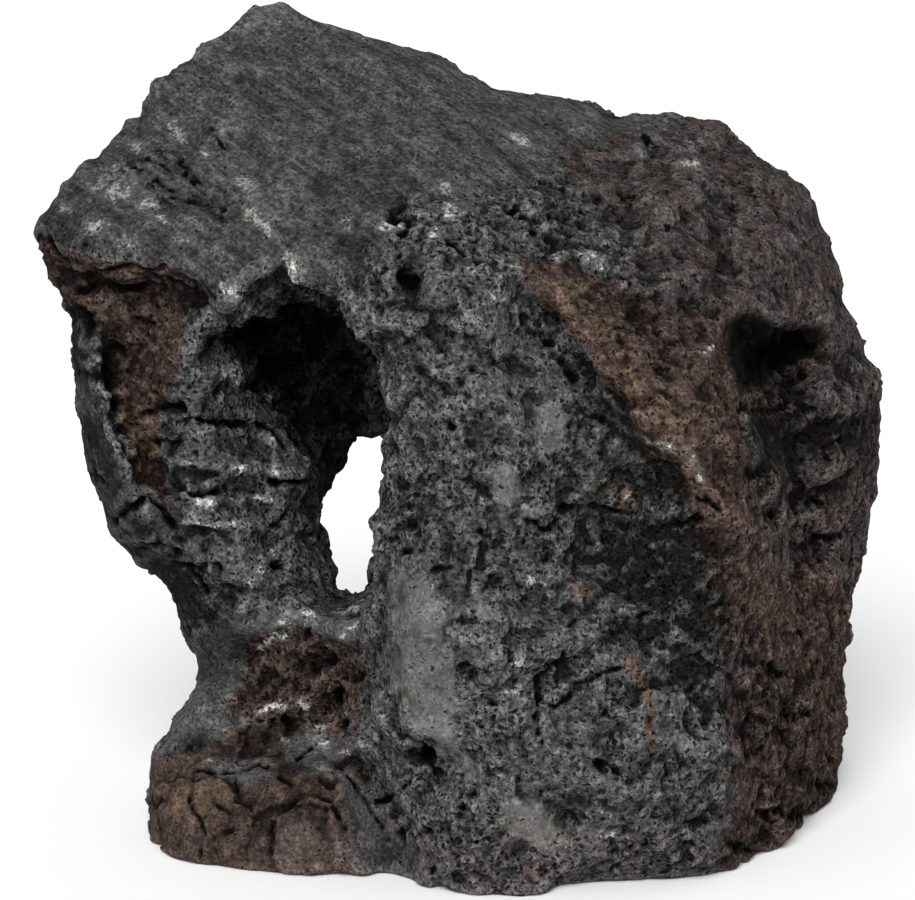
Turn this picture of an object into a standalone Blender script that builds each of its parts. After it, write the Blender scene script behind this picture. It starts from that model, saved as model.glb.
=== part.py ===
"""A lava stone: one weathered lump of vesicular basalt with a cave and a hole right through it.

The stone is made the way a carver would block it out.
1. A slab is sawn to the outline of the stone's face.
2. Its front and back are pushed in or out to the depth that gauge points give, and rolled over at
   the outline, so that the slab becomes a rounded block.
3. Ledges step the face, and a cave that narrows to a hole is cut through it.
4. The skin is chipped, lumped and pitted, thinned to few faces, and sawn flat where it stands.

The face is drawn on a board that leans back by LEAN, in millimetres: u to the right and v up, both
from the board's middle. y is the depth in the stone's own frame, and grows from front to back.
"""

import math

import bmesh
import bpy
import numpy as np
from mathutils import Vector, noise

MM = 0.001
NODE = "lava_rock"

# The drawing board that carries the outline of the stone's face.
LEAN = math.radians(12.0)
SIGHT = 953.0  # the outline is true from this far in front of the board's middle
BOARD_HEIGHT = 95.0  # the board's middle above the ground

# Sizes of the working steps.
SLAB_HALF = 18.0
BLOCK_VOXEL = 2.0
SKIN_VOXEL = 1.8
FRONT_ROLL = 15.0  # how far in from the outline the front rolls over
BACK_ROLL = 28.0
ROLL_POWER = 2.6
WANDER = 3.2  # how far the ledges stray from their paths
WANDER_GRAIN = 13.0
LEDGE_EDGE = 1.4  # width of the edge that a ledge drops from
LEDGE_ENDS = 0.22  # share of a ledge's length over which it comes and goes
MOST_TRIANGLES = 9300

# The outline of the face, from the top corner down the left side and round: (u, v, y).
OUTLINE = (
    (-44.0, 112.5, 30),
    (-50.0, 111.0, 29),
    (-55.5, 106.0, 27),
    (-64.0, 101.5, 24),
    (-66.5, 97.0, 22),
    (-70.5, 95.5, 20),
    (-76.5, 92.0, 18),
    (-78.5, 87.0, 16),
    (-80.0, 83.0, 14),
    (-83.5, 81.5, 12),
    (-87.5, 75.0, 8),
    (-93.0, 72.5, 5),
    (-97.0, 68.5, 1),
    (-101.0, 62.5, -5),
    (-105.5, 57.0, -10),
    (-106.0, 54.0, -12),
    (-104.0, 49.5, -13),
    (-102.5, 43.5, -11),
    (-99.5, 38.5, -8),
    (-95.5, 33.0, -3),
    (-96.0, 26.0, 0),
    (-95.5, 20.5, 2),
    (-94.5, 17.0, 3),
    (-95.0, 14.5, 4),
    (-93.5, 8.5, 5),
    (-93.0, 0.5, 6),
    (-91.5, -6.5, 6),
    (-88.5, -13.0, 6),
    (-87.5, -18.5, 6),
    (-84.5, -23.5, 5),
    (-78.5, -29.5, 4),
    (-75.0, -31.5, 3),
    (-71.0, -36.0, 2),
    (-71.0, -39.5, 1),
    (-68.0, -47.0, 0),
    (-64.0, -53.0, -2),
    (-64.0, -56.5, -4),
    (-66.5, -60.5, -6),
    (-69.5, -69.0, -9),
    (-73.5, -71.0, -10),
    (-75.5, -75.5, -11),
    (-76.5, -81.5, -12),
    (-76.5, -88.0, -13),
    (-76.5, -94.5, -14),
    (-78.0, -106.0, -15),
    (-78.0, -124.0, -15),
    (-40.0, -138.0, -15),
    (20.0, -140.0, 0),
    (70.0, -138.0, 15),
    (104.0, -124.0, 20),
    (103.0, -100.0, 22),
    (96.5, -87.0, 25),
    (94.5, -82.0, 26),
    (94.5, -77.0, 27),
    (98.0, -71.5, 27),
    (97.0, -62.5, 26),
    (95.0, -53.5, 25),
    (97.5, -50.5, 25),
    (98.5, -45.5, 25),
    (99.5, -40.0, 25),
    (99.0, -31.5, 26),
    (101.5, -28.5, 27),
    (102.0, -22.5, 28),
    (104.0, -14.5, 28),
    (104.5, -7.5, 29),
    (105.5, 2.0, 30),
    (106.0, 13.5, 30),
    (105.5, 19.5, 30),
    (102.0, 23.0, 30),
    (100.5, 28.5, 30),
    (96.5, 34.0, 31),
    (96.5, 38.5, 31),
    (96.0, 43.0, 32),
    (93.5, 47.0, 32),
    (90.0, 57.0, 33),
    (90.5, 61.0, 34),
    (86.5, 66.0, 35),
    (81.0, 70.5, 36),
    (75.0, 73.5, 38),
    (68.5, 79.0, 39),
    (67.0, 80.5, 40),
    (62.5, 82.0, 40),
    (53.5, 84.0, 41),
    (43.5, 83.0, 41),
    (39.0, 84.5, 41),
    (33.0, 87.0, 42),
    (28.0, 88.5, 42),
    (18.5, 89.5, 42),
    (9.0, 90.5, 41),
    (3.0, 93.5, 41),
    (-2.0, 98.0, 40),
    (-13.0, 101.5, 39),
    (-21.0, 104.0, 37),
    (-31.5, 106.5, 34),
    (-37.5, 109.5, 32),
)

# Depth of the face at gauge points: (u, v, y).
FRONT_GAUGES = (
    # the roof, a broad plane that falls from the back corner to the lip over the cave
    (-44, 108, 27),
    (-28, 88, 6),
    (-60, 88, 6),
    (-82, 68, -8),
    (-98, 55, -20),
    (-80, 50, -31),
    (-62, 44, -40),
    (-42, 46, -45),
    (-45, 68, -21),
    (-14, 60, -38),
    (-8, 82, -10),
    (16, 84, 8),
    (48, 80, 16),
    # the face of the big front mass
    (-16, 38, -51),
    (-2, 18, -57),
    (-17, -5, -53),
    (0, -20, -61),
    (-19, -40, -58),
    (-4, -58, -66),
    (2, -80, -64),
    (12, -112, -67),
    (-12, -108, -58),
    (26, -40, -59),
    (44, -22, -50),
    (40, -70, -62),
    (34, -107, -57),
    (60, -105, -54),
    (62, -80, -56),
    (69, -108, -43),
    # the brown buttress that runs down to the right
    (18, 44, -44),
    (45, 22, -55),
    (66, 0, -53),
    (70, 5, -52),
    (76, -28, -47),
    # the shoulder and the right side
    (30, 66, -10),
    (50, 70, 2),
    (60, 56, -12),
    (42, 48, -26),
    (62, 38, -34),
    (84, 50, 0),
    (92, 38, 8),
    (84, 8, -28),
    (84, -8, -29),
    (96, -10, 2),
    (86, -38, -14),
    (80, -52, -28),
    (74, -72, -44),
    (90, -66, -8),
    (84, -91, -24),
    (80, -101, -38),
    (89, -93, -14),
    (93, -84, -2),
    # the left pillar and its foot
    (-82, 28, -30),
    (-78, 10, -31),
    (-74, -10, -29),
    (-60, 0, -30),
    (-50, -46, -22),
    (-60, -38, -16),
    (-32, -46, -30),
    (-44, -72, -30),
    (-62, -84, -34),
    (-66, -102, -41),
    (-48, -92, -44),
    (-34, -86, -44),
    (-40, -105, -48),
    (-24, -104, -52),
)

# Depth of the hidden side at gauge points: (u, v, y).
BACK_GAUGES = (
    (-44, 100, 46),
    (-72, 76, 36),
    (-98, 58, 10),
    (-80, 40, 26),
    (-84, 5, 36),
    (-70, -22, 34),
    (-58, -50, 26),
    (-64, -78, 14),
    (-46, 20, 54),
    (-26, -15, 54),
    (-30, -50, 46),
    (-48, -96, 24),
    (-26, -80, 36),
    (-30, 50, 50),
    (-6, 96, 54),
    (0, 60, 62),
    (8, 10, 58),
    (10, -40, 70),
    (0, -90, 62),
    (40, 74, 62),
    (44, 30, 76),
    (40, -20, 66),
    (46, -70, 74),
    (76, 58, 66),
    (86, 10, 74),
    (80, -36, 62),
    (80, -80, 66),
)

# Steps in the face: (name, drop to the back, reach of the drop, path (u, v)). The drop lies on the
# right of the path as it is walked, is full at once past the edge, and fades over its reach.
LEDGES = (
    ("under the lip", 13, 18, ((-108, 56), (-96, 47), (-84, 45), (-72, 45), (-60, 39), (-54, 36))),
    ("left of the pillar", 12, 14, ((-70, -24), (-76, -12), (-80, -3), (-84, 8), (-87, 20),
                                    (-92, 34))),
    ("under the buttress", 13, 19, ((16, 46), (22, 37), (28, 29), (36, 20), (46, 9), (56, -4),
                                    (64, -16))),
    ("cleft beside it", 31, 24, ((84, -44), (79, -24), (76, -6), (73, 12), (69, 31), (80, 31),
                                 (98, 35))),
    ("crack over the cleft", 7, 9, ((42, 38), (50, 37), (56, 40), (66, 32))),
    ("small overhang", 10, 9, ((22, -14), (28, -12), (36, -13), (40, -16))),
    ("bottom right corner", 10, 20, ((72, -116), (71, -98), (68, -80), (70, -60))),
    ("lump behind it", 6, 12, ((84, -108), (84, -94), (82, -84))),
    ("foot of the waist", 9, 16, ((-80, -68), (-62, -72), (-46, -68), (-34, -60), (-26, -50))),
    ("seam beside the foot", 12, 10, ((-22, -46), (-26, -62), (-22, -76), (-14, -92), (-8, -112))),
    ("crack in the front", 7, 10, ((6, -58), (16, -54), (24, -52), (30, -47), (38, -48))),
    ("pit by the light patch", 8, 10, ((-16, -68), (-6, -70), (4, -78))),
)

# Lumps and hollows of the face: (u, v, half width, half height, height towards the front).
BOSSES = (
    (-42, -96, 11, 12, 6),
    (-66, -90, 12, 13, 5),
    (-10, -50, 9, 24, 5),
    (22, -52, 14, 10, 4),
    (8, 14, 22, 18, 4),
    (-6, 42, 14, 12, 5),
    (-12, 41, 4, 6, -9),
    (40, -86, 16, 14, 5),
    (88, -54, 12, 14, 6),
    (84, -80, 10, 12, 6),
    (60, 62, 14, 10, 5),
    (88, 44, 12, 12, 5),
    (92, -2, 9, 12, 6),
    (34, -18, 12, 12, -7),
    (78, 24, 8, 8, -14),
    (88, 12, 9, 6, 5),
    (-46, -56, 16, 9, -5),
    (-84, -16, 9, 8, 4),
)

# Ledges and hollows of the hidden side, in the same form; a drop there is towards the front.
BACK_LEDGES = (
    ("slant step", 10, 24, ((-66, 96), (-40, 62), (-6, 44), (34, 40), (66, 52), (100, 48))),
    ("low step", 9, 22, ((100, -20), (70, -26), (36, -12), (10, -30), (-6, -60))),
)
BACK_BOSSES = (
    (20, -88, 26, 16, -10),
    (70, 10, 20, 16, -9),
    (-20, 84, 20, 14, 7),
    (60, -60, 20, 22, 8),
    (84, 76, 18, 14, 8),
    (-88, 20, 12, 16, 7),
)

# The cave and the hole behind it, as rings of points (u, v, y) from front to back. Each ring starts
# at the upper left and goes clockwise. The left wall slopes back gently to the edge of the hole;
# above it the cave goes deep, and the hole opens at its lower end.
CAVE_RINGS = (
    ((-60, 38, -95), (-42, 46, -95), (-28, 40, -95), (-20, 25, -95), (-17, 2, -95), (-18, -20, -95),
     (-20, -36, -95), (-28, -43, -95), (-48, -44, -95), (-68, -32, -95), (-76, -4, -95),
     (-72, 22, -95)),
    ((-60, 36, -46), (-42, 46, -46), (-28, 40, -46), (-20, 25, -46), (-17, 2, -46), (-18, -20, -46),
     (-20, -36, -46), (-28, -43, -46), (-48, -44, -46), (-68, -32, -46), (-76, -4, -46),
     (-72, 22, -46)),
    ((-60, 34, -29), (-42, 48, -29), (-26, 44, -29), (-17, 28, -29), (-15, 2, -29), (-17, -20, -29),
     (-19, -36, -29), (-27, -42, -29), (-46, -42, -29), (-66, -30, -29), (-73, -4, -29),
     (-69, 20, -29)),
    ((-60, 33, -22), (-41, 48, -15), (-25, 45, -12), (-15, 28, -12), (-14, 4, -12), (-17, -18, -12),
     (-19, -34, -12), (-27, -39, -16), (-43, -37, -18), (-57, -26, -20), (-62, -4, -22),
     (-64, 22, -24)),
    ((-60, 33, -10), (-41, 47, 0), (-25, 44, 0), (-14, 27, 0), (-14, 4, 0), (-16.5, -16, -2),
     (-19, -32, -3), (-26, -37.5, -7), (-36, -34, -10), (-46, -24, -12), (-50, -4, -15),
     (-60, 28, -17)),
    ((-56, 33, 8), (-40, 46, 12), (-25, 43, 12), (-14, 27, 12), (-14, 4, 12), (-16.5, -15, 8),
     (-18.5, -30, 4), (-25, -38.5, 0), (-32, -35, -3), (-38, -22, -5), (-40, -6, -7),
     (-50, 16, -10)),
    ((-53, 32, 24), (-38, 40, 26), (-26, 38, 26), (-16, 25, 26), (-14.5, 3, 24), (-16.5, -14, 18),
     (-18, -29, 12), (-24.5, -39, 8), (-31, -36, 8), (-36.5, -21, 8), (-38, -8, 12),
     (-47, 14, 18)),
    ((-28.5, -4, 33), (-23.5, 1.5, 34), (-18.5, 2, 34), (-16, 0, 33), (-15.5, -5, 31),
     (-18, -18, 26), (-18.5, -28, 20), (-24, -39, 16), (-30, -36, 16), (-35, -22, 17),
     (-37.5, -13, 20), (-33, -9.5, 30)),
    ((-31, 3, 44), (-25, 9, 44), (-19, 9, 44), (-14, 5, 44), (-12, -5, 44), (-15, -18, 44),
     (-16, -30, 44), (-22, -41, 44), (-31, -40, 44), (-38, -27, 44), (-41, -12, 44), (-37, -4, 44)),
    ((-40, 28, 95), (-26, 34, 95), (-12, 32, 95), (0, 24, 95), (8, 4, 95), (6, -20, 95),
     (-2, -42, 95), (-18, -54, 95), (-40, -52, 95), (-58, -36, 95), (-62, -12, 95), (-54, 12, 95)),
)
CAVE_VOXEL = 2.0
CAVE_GRAINS = ((20.0, 3.0, 1.0, 7), (9.0, 1.8, 0.6, 11))

# Flats broken off the hidden sides: (point on the flat (x, y, z), outward normal).
CHIPS = (
    ((70, 66, 150), (0.45, 0.75, 0.50)),
    ((-63, 47, 166), (-0.62, 0.62, 0.45)),
    ((20, 66, 175), (0.05, 0.72, 0.70)),
    ((101, 44, 60), (0.85, 0.52, -0.05)),
    ((40, 74, 40), (0.20, 0.95, -0.25)),
    ((-52, 30, 60), (-0.55, 0.80, -0.20)),
    ((103, 4, 136), (0.93, -0.25, 0.28)),
    ((-88, 28, 110), (-0.80, 0.60, 0.05)),
)
CHIP_KEEP = 0.18  # how much of what stands proud of a flat is left

# Relief of the skin: (grain size, height, crease, seed), coarse first. With crease 1 the lumps meet
# in sharp valleys, with crease 0 they roll into each other.
LUMPS = (
    (52.0, 2.2, 0.0, 3),
    (27.0, 2.8, 0.8, 17),
    (14.0, 2.4, 1.0, 29),
    (8.0, 1.5, 0.5, 41),
)
OUTLINE_SHARE = 0.3  # share of the relief that is left right at the outline
PIT_GRAIN = 17.0
PIT_DEPTH = 3.4

# Beds that show as ledges: (x, z, half width, half height, pitch, tilt, height).
BEDS = (
    (-52, 82, 20, 28, 12.0, 0.12, 4.5),
    (96, 88, 22, 40, 15.0, -0.10, 5.5),
    (30, 60, 40, 24, 21.0, 0.25, 3.0),
)

UNDERSIDE = -2.0  # the underside is first sawn here, roughened, and then sawn level with the ground
SAW = 400.0


def board_to_stone(u, v, y):
    """Where the sight line through the board's point (u, v) comes to depth y: x, y, z in mm."""
    w = (y - v * math.sin(LEAN)) / (math.cos(LEAN) + v * math.sin(LEAN) / SIGHT)
    spread = 1.0 + w / SIGHT
    z = BOARD_HEIGHT - w * math.sin(LEAN) + v * spread * math.cos(LEAN)
    return np.column_stack([u * spread, np.broadcast_to(y, z.shape), z])


def stone_to_board(points):
    """The board's (u, v) that each point of the stone is sighted through."""
    up = points[:, 2] - BOARD_HEIGHT
    along_sight = points[:, 1] * math.cos(LEAN) - up * math.sin(LEAN)
    across = points[:, 1] * math.sin(LEAN) + up * math.cos(LEAN)
    return np.column_stack([points[:, 0], across]) / (1.0 + along_sight / SIGHT)[:, None]


def points_of(mesh):
    """The mesh's vertices, in millimetres."""
    points = np.empty(len(mesh.vertices) * 3)
    mesh.vertices.foreach_get("co", points)
    return points.reshape(-1, 3) / MM


def set_points(mesh, points):
    mesh.vertices.foreach_set("co", (points * MM).ravel())
    mesh.update()


def normals_of(mesh):
    normals = np.empty(len(mesh.vertices) * 3)
    mesh.vertices.foreach_get("normal", normals)
    return normals.reshape(-1, 3)


def smooth_step(t):
    t = np.clip(t, 0.0, 1.0)
    return t * t * (3.0 - 2.0 * t)


def nearest_on_path(points, path, closed=False):
    """For each (u, v): distance to the path, side (+1 right of it), place along it, and y there."""
    path = np.asarray(path, float)
    ends = np.roll(path, -1, axis=0) if closed else path[1:]
    best = np.full(len(points), np.inf)
    side = np.ones(len(points))
    along = np.zeros(len(points))
    depth = np.zeros(len(points))
    walked = 0.0
    for a, b in zip(path, ends):
        run = b[:2] - a[:2]
        length = math.hypot(*run)
        off = points - a[:2]
        t = np.clip(off @ run / length**2, 0.0, 1.0)
        gap = np.linalg.norm(off - t[:, None] * run, axis=1)
        near = gap < best
        best[near] = gap[near]
        side[near] = np.sign(off[near, 0] * run[1] - off[near, 1] * run[0])
        along[near] = walked + t[near] * length
        if path.shape[1] == 3:
            depth[near] = a[2] + t[near] * (b[2] - a[2])
        walked += length
    return best, side, along / walked, depth


def sheet_through(gauges):
    """A thin plate bent through the gauge points, as a function of (u, v)."""
    gauges = np.asarray(gauges, float)
    knots = gauges[:, :2]

    def bend(points):
        squared = ((points[:, None, :] - knots[None]) ** 2).sum(axis=2)
        return 0.5 * squared * np.log(squared + 1e-9)

    def plane(points):
        return np.column_stack([np.ones(len(points)), points])

    count = len(knots)
    system = np.zeros((count + 3, count + 3))
    system[:count, :count] = bend(knots) + 40.0 * np.eye(count)
    system[:count, count:] = plane(knots)
    system[count:, :count] = plane(knots).T
    weights = np.linalg.solve(system, np.concatenate([gauges[:, 2], np.zeros(3)]))
    return lambda points: bend(points) @ weights[:count] + plane(points) @ weights[count:]


def wandered(points):
    """The board's points pushed about a little, so that no ledge runs straight."""
    spots = [Vector((u, v, 0.0)) / WANDER_GRAIN for u, v in points]
    return points + WANDER * np.array([noise.noise_vector(spot)[:2] for spot in spots])


def ledge_drop(points, drop, reach, path):
    """Zero left of the path; right of it the full drop past a narrow edge, fading over reach."""
    gap, side, along, _ = nearest_on_path(points, path)
    right = np.where(side > 0, gap, 0.0)
    ends = smooth_step(along / LEDGE_ENDS) * smooth_step((1.0 - along) / LEDGE_ENDS)
    return drop * smooth_step(right / LEDGE_EDGE) * np.exp(-((right / reach) ** 2)) * ends


def boss_height(points, u, v, half_width, half_height, height):
    """A round lump, highest in the middle and level at its rim."""
    across = ((points[:, 0] - u) / half_width) ** 2 + ((points[:, 1] - v) / half_height) ** 2
    return height * np.exp(-across)


def sawn_slab():
    """The outline of the face as a flat curve, given a thickness and an even skin."""
    curve = bpy.data.curves.new("face_outline", "CURVE")
    curve.dimensions = "2D"
    curve.fill_mode = "BOTH"
    curve.extrude = SLAB_HALF * MM
    spline = curve.splines.new("POLY")
    spline.points.add(len(OUTLINE) - 1)
    for point, (u, v, _) in zip(spline.points, OUTLINE):
        point.co = (u * MM, v * MM, 0.0, 1.0)
    spline.use_cyclic_u = True
    slab = bpy.data.objects.new("face_outline", curve)
    bpy.context.scene.collection.objects.link(slab)
    mesh = evaluated_mesh(slab)
    bpy.data.objects.remove(slab)
    weld(mesh)
    return remeshed(mesh, BLOCK_VOXEL)


def evaluated_mesh(obj):
    graph = bpy.context.evaluated_depsgraph_get()
    return bpy.data.meshes.new_from_object(obj.evaluated_get(graph))


def weld(mesh):
    shell = bmesh.new()
    shell.from_mesh(mesh)
    bmesh.ops.remove_doubles(shell, verts=shell.verts, dist=0.01 * MM)
    bmesh.ops.recalc_face_normals(shell, faces=shell.faces)
    shell.to_mesh(mesh)
    shell.free()


def with_modifiers(mesh, *settings):
    """The mesh as these modifiers leave it. Each is (type, {setting: value})."""
    helper = bpy.data.objects.new("helper", mesh)
    bpy.context.scene.collection.objects.link(helper)
    for kind, values in settings:
        modifier = helper.modifiers.new(kind.title(), kind)
        for name, value in values.items():
            setattr(modifier, name, value)
    made = evaluated_mesh(helper)
    bpy.data.objects.remove(helper)
    return made


def remeshed(mesh, voxel):
    return with_modifiers(mesh, ("REMESH", {"mode": "VOXEL", "voxel_size": voxel * MM}))


def block_out(mesh):
    """Bends the slab's two faces to their sheets and rolls them together at the outline."""
    points = points_of(mesh)
    board = points[:, :2]
    gap, _, _, rim = nearest_on_path(board, OUTLINE, closed=True)

    front = sheet_through(FRONT_GAUGES)(board)
    back = sheet_through(BACK_GAUGES)(board)
    ledge_board = wandered(board)
    for _, drop, reach, path in LEDGES:
        front += ledge_drop(ledge_board, drop, reach, path)
    for _, drop, reach, path in BACK_LEDGES:
        back -= ledge_drop(ledge_board, drop, reach, path)
    for boss in BOSSES:
        front -= boss_height(board, *boss)
    for boss in BACK_BOSSES:
        back += boss_height(board, *boss)

    def roll(reach):
        inward = 1.0 - np.clip(gap / reach, 0.0, 1.0)
        return (1.0 - inward**ROLL_POWER) ** (1.0 / ROLL_POWER)

    front = rim + (front - rim) * roll(FRONT_ROLL)
    back = rim + (back - rim) * roll(BACK_ROLL)
    share = np.clip(0.5 + 0.5 * points[:, 2] / SLAB_HALF, 0.0, 1.0)
    depth = back + (front - back) * share
    set_points(mesh, board_to_stone(board[:, 0], board[:, 1], depth))


def cave_cutter():
    """The space of the cave and the hole, lofted through its rings and given rough walls."""
    shell = bmesh.new()
    rings = []
    for ring in CAVE_RINGS:
        u, v, depth = np.asarray(ring, float).T
        rings.append([shell.verts.new(Vector(p) * MM) for p in board_to_stone(u, v, depth)])
    for near, far in zip(rings, rings[1:]):
        for i in range(len(near)):
            j = (i + 1) % len(near)
            shell.faces.new((near[i], near[j], far[j], far[i]))
    shell.faces.new(rings[0])
    shell.faces.new(rings[-1])
    bmesh.ops.triangulate(shell, faces=shell.faces)
    bmesh.ops.recalc_face_normals(shell, faces=shell.faces)
    mesh = bpy.data.meshes.new("cave_cutter")
    shell.to_mesh(mesh)
    shell.free()
    mesh = remeshed(mesh, CAVE_VOXEL)
    points = points_of(mesh)
    heights = np.array([grain_height(Vector(p), CAVE_GRAINS) for p in points])
    set_points(mesh, points + normals_of(mesh) * heights[:, None])
    return cutter("cave_cutter", mesh)


def ground_cutter(top):
    """A block whose upper face is level with top."""
    shell = bmesh.new()
    bmesh.ops.create_cube(shell, size=SAW * MM)
    bmesh.ops.translate(shell, verts=shell.verts, vec=(0.0, 0.0, (top - SAW / 2.0) * MM))
    mesh = bpy.data.meshes.new("ground_cutter")
    shell.to_mesh(mesh)
    shell.free()
    return cutter("ground_cutter", mesh)


def cutter(name, mesh):
    obj = bpy.data.objects.new(name, mesh)
    obj.hide_render = True
    obj.display_type = "WIRE"
    bpy.data.collections["cutters"].objects.link(obj)
    return obj


def cut(mesh, tool):
    return with_modifiers(mesh, ("BOOLEAN", {"operation": "DIFFERENCE", "object": tool}))


def chip_flats(points):
    """Presses whatever stands proud of each flat nearly down to it."""
    for place, normal in CHIPS:
        normal = np.asarray(normal, float) / np.linalg.norm(normal)
        proud = (points - np.asarray(place, float)) @ normal
        points = points - np.outer(np.maximum(proud, 0.0) * (1.0 - CHIP_KEEP), normal)
    return points


def grain_height(point, grains):
    """Lumps of several sizes, added up."""
    height = 0.0
    for grain, amount, crease, seed in grains:
        wave = noise.noise(point / grain + Vector((seed, -seed, 2 * seed)))
        height += amount * ((1.0 - crease) * wave + crease * (2.0 * abs(wave) - 0.45))
    return height


def skin_height(point):
    """The lumps of the skin, with pits where the cells of a coarser grain have their middles."""
    nearest = noise.voronoi(point / PIT_GRAIN + Vector((7.3, 1.9, -4.1)))[0][0]
    pit = PIT_DEPTH * max(0.0, 1.0 - nearest / 0.38) ** 1.2
    return grain_height(point, LUMPS) - pit


def bed_height(points, x, z, half_width, half_height, pitch, tilt, height):
    """Beds one above the other, steep below and flat above, over an oval patch of the face."""
    patch = np.exp(-(((points[:, 0] - x) / half_width) ** 2 + ((points[:, 2] - z) / half_height) ** 2))
    place = (points[:, 2] + tilt * points[:, 0]) / pitch
    place += 0.3 * np.sin(points[:, 0] / 9.0) + 0.2 * np.sin(points[:, 1] / 7.0)
    rise = place % 1.0
    return height * patch * (smooth_step(rise / 0.25) - rise)


def roughen(mesh):
    """Moves the skin in and out along its normals, least of all at the outline."""
    points = points_of(mesh)
    heights = np.array([skin_height(Vector(p)) for p in points])
    for bed in BEDS:
        heights += bed_height(points, *bed)
    gap = nearest_on_path(stone_to_board(points), OUTLINE, closed=True)[0]
    heights *= OUTLINE_SHARE + (1.0 - OUTLINE_SHARE) * smooth_step(gap / 9.0)
    set_points(mesh, points + normals_of(mesh) * heights[:, None])


def centred(mesh):
    """Moves the stone so that its box stands on the origin."""
    points = points_of(mesh)
    low, high = points.min(axis=0), points.max(axis=0)
    middle = (low + high) / 2.0
    set_points(mesh, points - np.array([middle[0], middle[1], low[2]]))


def lava_material():
    material = bpy.data.materials.new("vesicular_basalt")
    material.use_nodes = True
    surface = material.node_tree.nodes["Principled BSDF"]
    surface.inputs["Base Color"].default_value = (0.055, 0.053, 0.053, 1.0)
    surface.inputs["Roughness"].default_value = 0.92
    surface.inputs["Metallic"].default_value = 0.0
    material.diffuse_color = (0.055, 0.053, 0.053, 1.0)
    return material


def build_stone():
    mesh = sawn_slab()
    block_out(mesh)
    mesh = remeshed(mesh, BLOCK_VOXEL)
    set_points(mesh, chip_flats(points_of(mesh)))
    mesh = cut(mesh, cave_cutter())
    mesh = cut(mesh, ground_cutter(UNDERSIDE))
    mesh = remeshed(mesh, SKIN_VOXEL)
    roughen(mesh)
    mesh = remeshed(mesh, SKIN_VOXEL)
    triangles = 2 * len(mesh.polygons)
    mesh = with_modifiers(mesh, ("DECIMATE", {"ratio": MOST_TRIANGLES / triangles}))
    mesh = cut(mesh, ground_cutter(0.0))
    centred(mesh)
    mesh.name = NODE
    mesh.materials.clear()
    mesh.materials.append(lava_material())
    mesh.shade_smooth()
    stone = bpy.data.objects.new(NODE, mesh)
    bpy.data.collections["lava stone"].objects.link(stone)


def main():
    for obj in list(bpy.data.objects):
        bpy.data.objects.remove(obj, do_unlink=True)
    for name in ("lava stone", "cutters"):
        collection = bpy.data.collections.new(name)
        bpy.context.scene.collection.children.link(collection)
    bpy.data.collections["cutters"].hide_render = True
    build_stone()


main()
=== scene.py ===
import math

import bmesh
import bpy
import numpy as np
from mathutils import Matrix, Vector


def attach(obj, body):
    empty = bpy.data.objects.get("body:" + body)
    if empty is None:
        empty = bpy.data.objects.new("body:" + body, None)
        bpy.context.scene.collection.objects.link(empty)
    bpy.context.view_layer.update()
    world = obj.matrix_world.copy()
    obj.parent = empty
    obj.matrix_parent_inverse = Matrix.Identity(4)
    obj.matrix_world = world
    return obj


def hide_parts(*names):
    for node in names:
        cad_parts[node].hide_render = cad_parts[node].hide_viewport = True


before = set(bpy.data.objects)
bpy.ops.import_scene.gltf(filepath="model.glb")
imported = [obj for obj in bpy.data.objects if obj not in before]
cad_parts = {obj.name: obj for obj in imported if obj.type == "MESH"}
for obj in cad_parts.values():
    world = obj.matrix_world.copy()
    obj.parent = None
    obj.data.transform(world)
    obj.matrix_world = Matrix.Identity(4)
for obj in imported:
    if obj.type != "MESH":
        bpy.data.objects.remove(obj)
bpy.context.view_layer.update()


# ---------------------------------------------------------------------------------------------
# The block. One lump of vesicular basalt, torn from a lava flow along its cooling cracks and never
# worked. The solid gives its masses, and a skin of one-millimetre mesh over them is what all the
# later sections break, bubble and stain.

MM = 0.001
SKIN_MESH = 0.85  # mm between neighbouring points of the skin


def welded_copy(node, name):
    """A new object with the node's mesh, its loose triangles joined where their corners meet."""
    mesh = node.data.copy()
    shell = bmesh.new()
    shell.from_mesh(mesh)
    bmesh.ops.remove_doubles(shell, verts=shell.verts, dist=1e-6)
    shell.to_mesh(mesh)
    shell.free()
    mesh.materials.clear()
    piece = bpy.data.objects.new(name, mesh)
    bpy.context.scene.collection.objects.link(piece)
    return piece


def settle(piece, *settings):
    """Applies modifiers in turn, each given as (type, {setting: value})."""
    for kind, values in settings:
        modifier = piece.modifiers.new(kind.title(), kind)
        for setting, value in values.items():
            setattr(modifier, setting, value)
    graph = bpy.context.evaluated_depsgraph_get()
    mesh = bpy.data.meshes.new_from_object(piece.evaluated_get(graph))
    piece.modifiers.clear()
    piece.data = mesh


def read_points(mesh):
    """The mesh's points in millimetres, one row for each."""
    places = np.empty(len(mesh.vertices) * 3)
    mesh.vertices.foreach_get("co", places)
    return places.reshape(-1, 3) / MM


def read_normals(mesh):
    """The outward direction at each of the mesh's points."""
    directions = np.empty(len(mesh.vertices) * 3)
    mesh.vertices.foreach_get("normal", directions)
    return directions.reshape(-1, 3)


stone = welded_copy(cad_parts["lava_rock"], "basalt_skin")
settle(
    stone,
    ("SUBSURF", {"levels": 1, "render_levels": 1}),
    ("REMESH", {"mode": "VOXEL", "voxel_size": SKIN_MESH * MM}),
    ("SMOOTH", {"factor": 0.5, "iterations": 2}),
)
points = read_points(stone.data)
normals = read_normals(stone.data)


# ---------------------------------------------------------------------------------------------
# The face. The stone is known by the side where it broke open, with the cave. The marks of its
# basalt are laid out on a board that leans back by 12 degrees before that side, in millimetres:
# u to the right, v up from the middle. No break in lava is straight, so every mark is frayed.

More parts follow.
